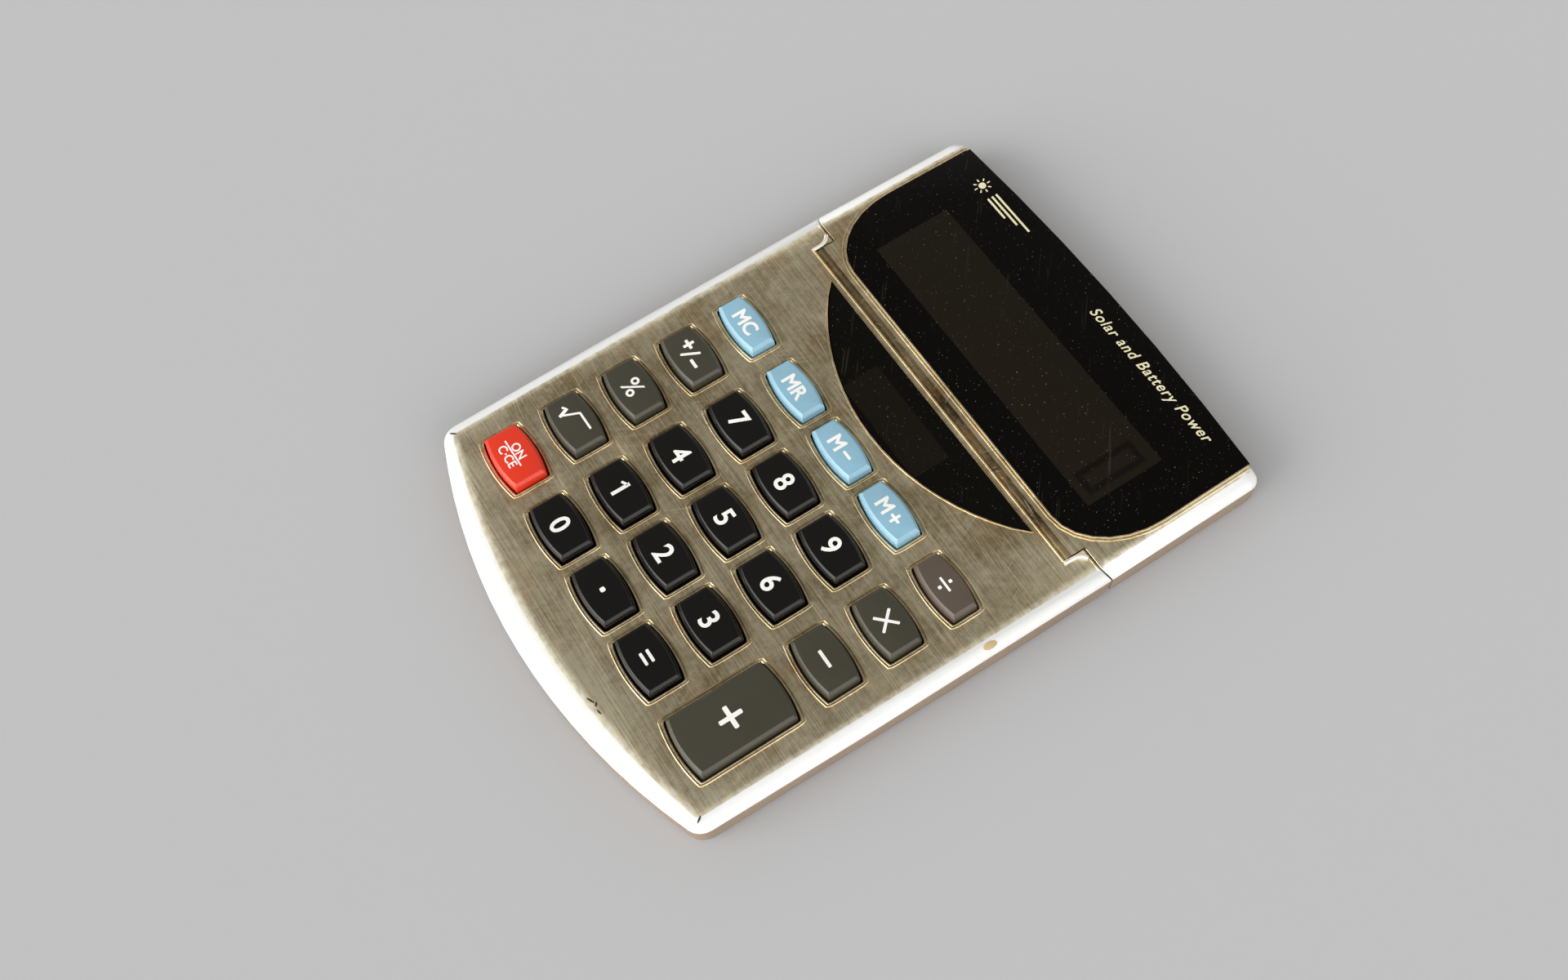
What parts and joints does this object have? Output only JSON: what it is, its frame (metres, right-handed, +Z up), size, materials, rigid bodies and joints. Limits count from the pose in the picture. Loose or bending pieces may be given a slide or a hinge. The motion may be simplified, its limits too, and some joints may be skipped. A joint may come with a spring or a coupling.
{
  "type": "mini desk calculator",
  "caption": "Flat desk calculator with a brushed metal face, separate keys, a half-moon solar window and a display head that tilts on a hinge.",
  "frame": {"origin": "middle of the plan outline, on the surface that the rubber feet stand on", "axes": "+X to the user's right, +Y from the front edge towards the display, +Z up out of the keys; head flat at rest"},
  "size_m": [0.108, 0.147, 0.0106],
  "materials": {
    "metal_skin": "brushed, warm champagne grey, polished edge roll",
    "shell_plastic": "satin moulded brown-grey",
    "frame_plastic": "satin black",
    "key_black": "satin black with white legends",
    "key_grey": "satin olive grey with white legends",
    "key_brown": "satin brown grey with a white legend",
    "key_blue": "satin sky blue with white legends",
    "key_red": "satin red with white legends",
    "lens_black": "polished black",
    "solar_dark": "dark amorphous silicon",
    "wire_red": "red sleeve",
    "wire_black": "black sleeve",
    "silicone": "translucent grey silicone",
    "board": "phenolic board with green mask",
    "epoxy": "black epoxy",
    "steel": "plated steel",
    "brass": "sprung brass",
    "rubber": "matt black rubber",
    "flex_film": "amber flexible film",
    "lcd_glass": "dark display glass with its reflector",
    "foam": "black foam"
  },
  "bodies": {
    "base": {"base_shell": "shell_plastic", "key_frame": "frame_plastic", "faceplate": "metal_skin", "solar_window": "lens_black", "solar_cell": "solar_dark", "solar_lead_red": "wire_red", "solar_lead_black": "wire_black", "keypad_mat": "silicone", "main_board": "board", "chip_blob": "epoxy", "battery_cell": "steel", "battery_clip_minus": "brass", "battery_clip_plus": "brass", "battery_door": "shell_plastic", "battery_door_screw": "steel", "base_screw_front_left": "steel", "base_screw_front_right": "steel", "base_screw_rear_left": "steel", "base_screw_rear_right": "steel", "foot_front_left": "rubber", "foot_front_right": "rubber", "foot_rear_left": "rubber", "foot_rear_right": "rubber", "hinge_pin_left": "steel", "hinge_pin_right": "steel", "ribbon_cable": "flex_film"},
    "head": {"head_back_shell": "shell_plastic", "head_plate": "metal_skin", "display_lens": "lens_black", "lcd_holder": "frame_plastic", "lcd_glass": "lcd_glass", "lcd_cushion": "foam", "head_screw_left": "steel", "head_screw_right": "steel"},
    "key_mc": {"key_mc": "key_blue"},
    "key_mr": {"key_mr": "key_blue"},
    "key_m_minus": {"key_m_minus": "key_blue"},
    "key_m_plus": {"key_m_plus": "key_blue"},
    "key_divide": {"key_divide": "key_brown"},
    "key_sign": {"key_sign": "key_grey"},
    "key_7": {"key_7": "key_black"},
    "key_8": {"key_8": "key_black"},
    "key_9": {"key_9": "key_black"},
    "key_multiply": {"key_multiply": "key_grey"},
    "key_percent": {"key_percent": "key_grey"},
    "key_4": {"key_4": "key_black"},
    "key_5": {"key_5": "key_black"},
    "key_6": {"key_6": "key_black"},
    "key_minus": {"key_minus": "key_grey"},
    "key_root": {"key_root": "key_grey"},
    "key_1": {"key_1": "key_black"},
    "key_2": {"key_2": "key_black"},
    "key_3": {"key_3": "key_black"},
    "key_plus": {"key_plus": "key_grey"},
    "key_on_clear": {"key_on_clear": "key_red"},
    "key_0": {"key_0": "key_black"},
    "key_point": {"key_point": "key_black"},
    "key_equals": {"key_equals": "key_black"}
  },
  "joints": [
    {"name": "head_tilt", "type": "hinge", "parent": "base", "child": "head", "pos_m": [0, 0.0292, 0.0054], "axis": [1, 0, 0], "range_deg": [0, 45], "deforming": ["ribbon_cable"]},
    {"name": "press_mc", "type": "slide", "parent": "base", "child": "key_mc", "axis": [0, 0, -1], "range_m": [0, 0.001], "stiffness_N_per_m": 300, "springref_m": -0.001, "deforming": ["keypad_mat"]},
    {"name": "press_mr", "type": "slide", "parent": "base", "child": "key_mr", "axis": [0, 0, -1], "range_m": [0, 0.001], "stiffness_N_per_m": 300, "springref_m": -0.001, "deforming": ["keypad_mat"]},
    {"name": "press_m_minus", "type": "slide", "parent": "base", "child": "key_m_minus", "axis": [0, 0, -1], "range_m": [0, 0.001], "stiffness_N_per_m": 300, "springref_m": -0.001, "deforming": ["keypad_mat"]},
    {"name": "press_m_plus", "type": "slide", "parent": "base", "child": "key_m_plus", "axis": [0, 0, -1], "range_m": [0, 0.001], "stiffness_N_per_m": 300, "springref_m": -0.001, "deforming": ["keypad_mat"]},
    {"name": "press_divide", "type": "slide", "parent": "base", "child": "key_divide", "axis": [0, 0, -1], "range_m": [0, 0.001], "stiffness_N_per_m": 300, "springref_m": -0.001, "deforming": ["keypad_mat"]},
    {"name": "press_sign", "type": "slide", "parent": "base", "child": "key_sign", "axis": [0, 0, -1], "range_m": [0, 0.001], "stiffness_N_per_m": 300, "springref_m": -0.001, "deforming": ["keypad_mat"]},
    {"name": "press_7", "type": "slide", "parent": "base", "child": "key_7", "axis": [0, 0, -1], "range_m": [0, 0.001], "stiffness_N_per_m": 300, "springref_m": -0.001, "deforming": ["keypad_mat"]},
    {"name": "press_8", "type": "slide", "parent": "base", "child": "key_8", "axis": [0, 0, -1], "range_m": [0, 0.001], "stiffness_N_per_m": 300, "springref_m": -0.001, "deforming": ["keypad_mat"]},
    {"name": "press_9", "type": "slide", "parent": "base", "child": "key_9", "axis": [0, 0, -1], "range_m": [0, 0.001], "stiffness_N_per_m": 300, "springref_m": -0.001, "deforming": ["keypad_mat"]},
    {"name": "press_multiply", "type": "slide", "parent": "base", "child": "key_multiply", "axis": [0, 0, -1], "range_m": [0, 0.001], "stiffness_N_per_m": 300, "springref_m": -0.001, "deforming": ["keypad_mat"]},
    {"name": "press_percent", "type": "slide", "parent": "base", "child": "key_percent", "axis": [0, 0, -1], "range_m": [0, 0.001], "stiffness_N_per_m": 300, "springref_m": -0.001, "deforming": ["keypad_mat"]},
    {"name": "press_4", "type": "slide", "parent": "base", "child": "key_4", "axis": [0, 0, -1], "range_m": [0, 0.001], "stiffness_N_per_m": 300, "springref_m": -0.001, "deforming": ["keypad_mat"]},
    {"name": "press_5", "type": "slide", "parent": "base", "child": "key_5", "axis": [0, 0, -1], "range_m": [0, 0.001], "stiffness_N_per_m": 300, "springref_m": -0.001, "deforming": ["keypad_mat"]},
    {"name": "press_6", "type": "slide", "parent": "base", "child": "key_6", "axis": [0, 0, -1], "range_m": [0, 0.001], "stiffness_N_per_m": 300, "springref_m": -0.001, "deforming": ["keypad_mat"]},
    {"name": "press_minus", "type": "slide", "parent": "base", "child": "key_minus", "axis": [0, 0, -1], "range_m": [0, 0.001], "stiffness_N_per_m": 300, "springref_m": -0.001, "deforming": ["keypad_mat"]},
    {"name": "press_root", "type": "slide", "parent": "base", "child": "key_root", "axis": [0, 0, -1], "range_m": [0, 0.001], "stiffness_N_per_m": 300, "springref_m": -0.001, "deforming": ["keypad_mat"]},
    {"name": "press_1", "type": "slide", "parent": "base", "child": "key_1", "axis": [0, 0, -1], "range_m": [0, 0.001], "stiffness_N_per_m": 300, "springref_m": -0.001, "deforming": ["keypad_mat"]},
    {"name": "press_2", "type": "slide", "parent": "base", "child": "key_2", "axis": [0, 0, -1], "range_m": [0, 0.001], "stiffness_N_per_m": 300, "springref_m": -0.001, "deforming": ["keypad_mat"]},
    {"name": "press_3", "type": "slide", "parent": "base", "child": "key_3", "axis": [0, 0, -1], "range_m": [0, 0.001], "stiffness_N_per_m": 300, "springref_m": -0.001, "deforming": ["keypad_mat"]},
    {"name": "press_plus", "type": "slide", "parent": "base", "child": "key_plus", "axis": [0, 0, -1], "range_m": [0, 0.001], "stiffness_N_per_m": 300, "springref_m": -0.001, "deforming": ["keypad_mat"]},
    {"name": "press_on_clear", "type": "slide", "parent": "base", "child": "key_on_clear", "axis": [0, 0, -1], "range_m": [0, 0.001], "stiffness_N_per_m": 300, "springref_m": -0.001, "deforming": ["keypad_mat"]},
    {"name": "press_0", "type": "slide", "parent": "base", "child": "key_0", "axis": [0, 0, -1], "range_m": [0, 0.001], "stiffness_N_per_m": 300, "springref_m": -0.001, "deforming": ["keypad_mat"]},
    {"name": "press_point", "type": "slide", "parent": "base", "child": "key_point", "axis": [0, 0, -1], "range_m": [0, 0.001], "stiffness_N_per_m": 300, "springref_m": -0.001, "deforming": ["keypad_mat"]},
    {"name": "press_equals", "type": "slide", "parent": "base", "child": "key_equals", "axis": [0, 0, -1], "range_m": [0, 0.001], "stiffness_N_per_m": 300, "springref_m": -0.001, "deforming": ["keypad_mat"]}
  ]
}
